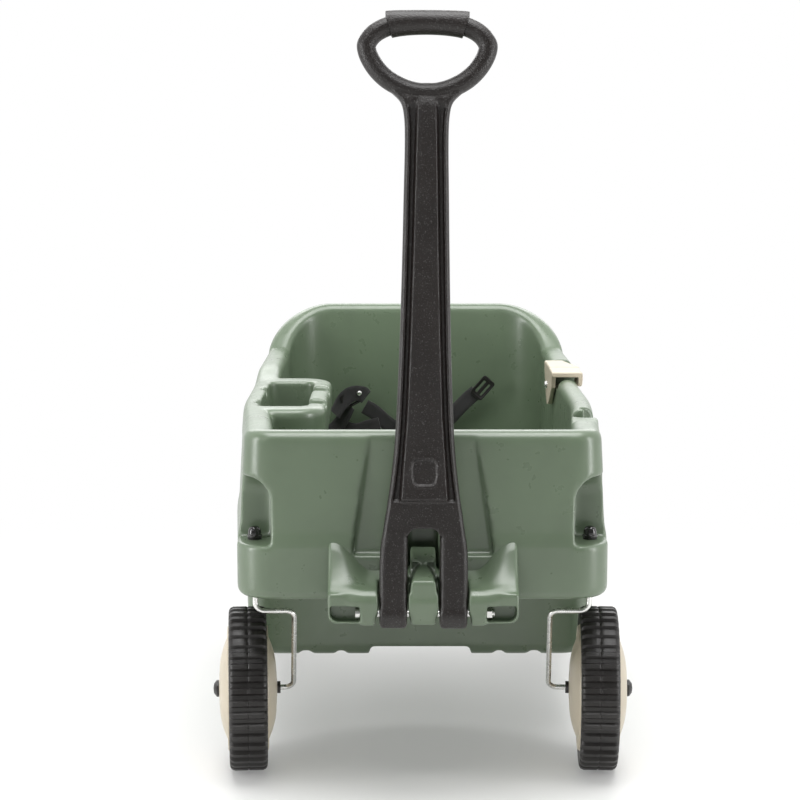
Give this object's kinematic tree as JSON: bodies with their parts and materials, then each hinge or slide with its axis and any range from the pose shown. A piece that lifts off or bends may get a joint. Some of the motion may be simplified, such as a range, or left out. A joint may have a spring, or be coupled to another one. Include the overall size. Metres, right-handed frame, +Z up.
{
  "type": "child's pull wagon",
  "caption": "Moulded children's wagon with facing seats, side door and latch, drinks tray, lap belts, swivelling front wheels and a forked pull handle with a D-shaped grip.",
  "frame": {"origin": "middle of the whole wagon's footprint, on the floor under the wheels", "axes": "+Z up, -Y towards the pull handle (front), +X towards the side with the door"},
  "size_m": [0.5234, 1.0075, 0.9292],
  "materials": {
    "sage_plastic": "lightly textured satin, sage green",
    "handle_plastic": "fine pebble-grained satin, warm black",
    "tyre_plastic": "satin, warm black, moulded cross lugs",
    "tan_plastic": "satin, light sand",
    "dark_plastic": "satin black",
    "gloss_cap": "glossy black",
    "zinc_steel": "bright zinc plate",
    "webbing": "black woven webbing"
  },
  "bodies": {
    "wagon_body": {"body": "sage_plastic", "door_hinge_pin": "zinc_steel", "latch_bolt": "zinc_steel", "handle_pivot_bolt": "zinc_steel", "handle_pivot_nut": "zinc_steel", "rear_axle": "zinc_steel", "caster_sleeve_left": "dark_plastic", "caster_sleeve_right": "dark_plastic", "axle_spacer_rear_left": "dark_plastic", "axle_spacer_rear_right": "dark_plastic", "axle_cap_rear_left": "dark_plastic", "axle_cap_rear_right": "dark_plastic", "rear_belt_left": "webbing", "rear_belt_right": "webbing", "rear_belt_middle": "webbing", "rear_belt_buckle": "dark_plastic", "rear_belt_tongue": "dark_plastic", "rear_belt_anchor_left": "zinc_steel", "rear_belt_anchor_right": "zinc_steel", "front_belt_left": "webbing", "front_belt_right": "webbing", "front_belt_middle": "webbing", "front_belt_buckle": "dark_plastic", "front_belt_tongue": "dark_plastic", "front_belt_anchor_left": "zinc_steel", "front_belt_anchor_right": "zinc_steel"},
    "side_door": {"door": "sage_plastic"},
    "latch": {"door_latch": "tan_plastic"},
    "pull_handle": {"handle": "handle_plastic", "grip_sleeve": "handle_plastic"},
    "caster_left": {"caster_rod_left": "zinc_steel", "caster_cap_left": "gloss_cap", "caster_washer_left": "zinc_steel", "axle_spacer_front_left": "dark_plastic", "axle_cap_front_left": "dark_plastic"},
    "caster_right": {"caster_rod_right": "zinc_steel", "caster_cap_right": "gloss_cap", "caster_washer_right": "zinc_steel", "axle_spacer_front_right": "dark_plastic", "axle_cap_front_right": "dark_plastic"},
    "wheel_front_left": {"tyre_front_left": "tyre_plastic", "hub_front_left": "tan_plastic"},
    "wheel_front_right": {"tyre_front_right": "tyre_plastic", "hub_front_right": "tan_plastic"},
    "wheel_rear_left": {"tyre_rear_left": "tyre_plastic", "hub_rear_left": "tan_plastic"},
    "wheel_rear_right": {"tyre_rear_right": "tyre_plastic", "hub_rear_right": "tan_plastic"}
  },
  "joints": [
    {"name": "handle_pivot", "type": "hinge", "parent": "wagon_body", "child": "pull_handle", "pos_m": [0, -0.48625, 0.2335], "axis": [1, 0, 0], "range_deg": [0, 110]},
    {"name": "door_hinge", "type": "hinge", "parent": "wagon_body", "child": "side_door", "pos_m": [0.2112, -0.24125, 0.35], "axis": [0, 0, -1], "range_deg": [0, 110]},
    {"name": "latch_lift", "type": "slide", "parent": "wagon_body", "child": "latch", "axis": [0, 0, 1], "range_m": [0, 0.018]},
    {"name": "caster_swivel_left", "type": "hinge", "parent": "wagon_body", "child": "caster_left", "pos_m": [-0.202, -0.39625, 0.25], "axis": [0, 0, 1], "continuous": true},
    {"name": "caster_swivel_right", "type": "hinge", "parent": "wagon_body", "child": "caster_right", "pos_m": [0.202, -0.39625, 0.25], "axis": [0, 0, 1], "continuous": true},
    {"name": "wheel_spin_front_left", "type": "hinge", "parent": "caster_left", "child": "wheel_front_left", "pos_m": [-0.20695, -0.33044, 0.1015], "axis": [0.9972, 0.075, 0], "continuous": true},
    {"name": "wheel_spin_front_right", "type": "hinge", "parent": "caster_right", "child": "wheel_front_right", "pos_m": [0.20568, -0.33035, 0.1015], "axis": [0.9984, -0.0558, 0], "continuous": true},
    {"name": "wheel_spin_rear_left", "type": "hinge", "parent": "wagon_body", "child": "wheel_rear_left", "pos_m": [-0.215, 0.33875, 0.1015], "axis": [1, 0, 0], "continuous": true},
    {"name": "wheel_spin_rear_right", "type": "hinge", "parent": "wagon_body", "child": "wheel_rear_right", "pos_m": [0.215, 0.33875, 0.1015], "axis": [1, 0, 0], "continuous": true}
  ]
}
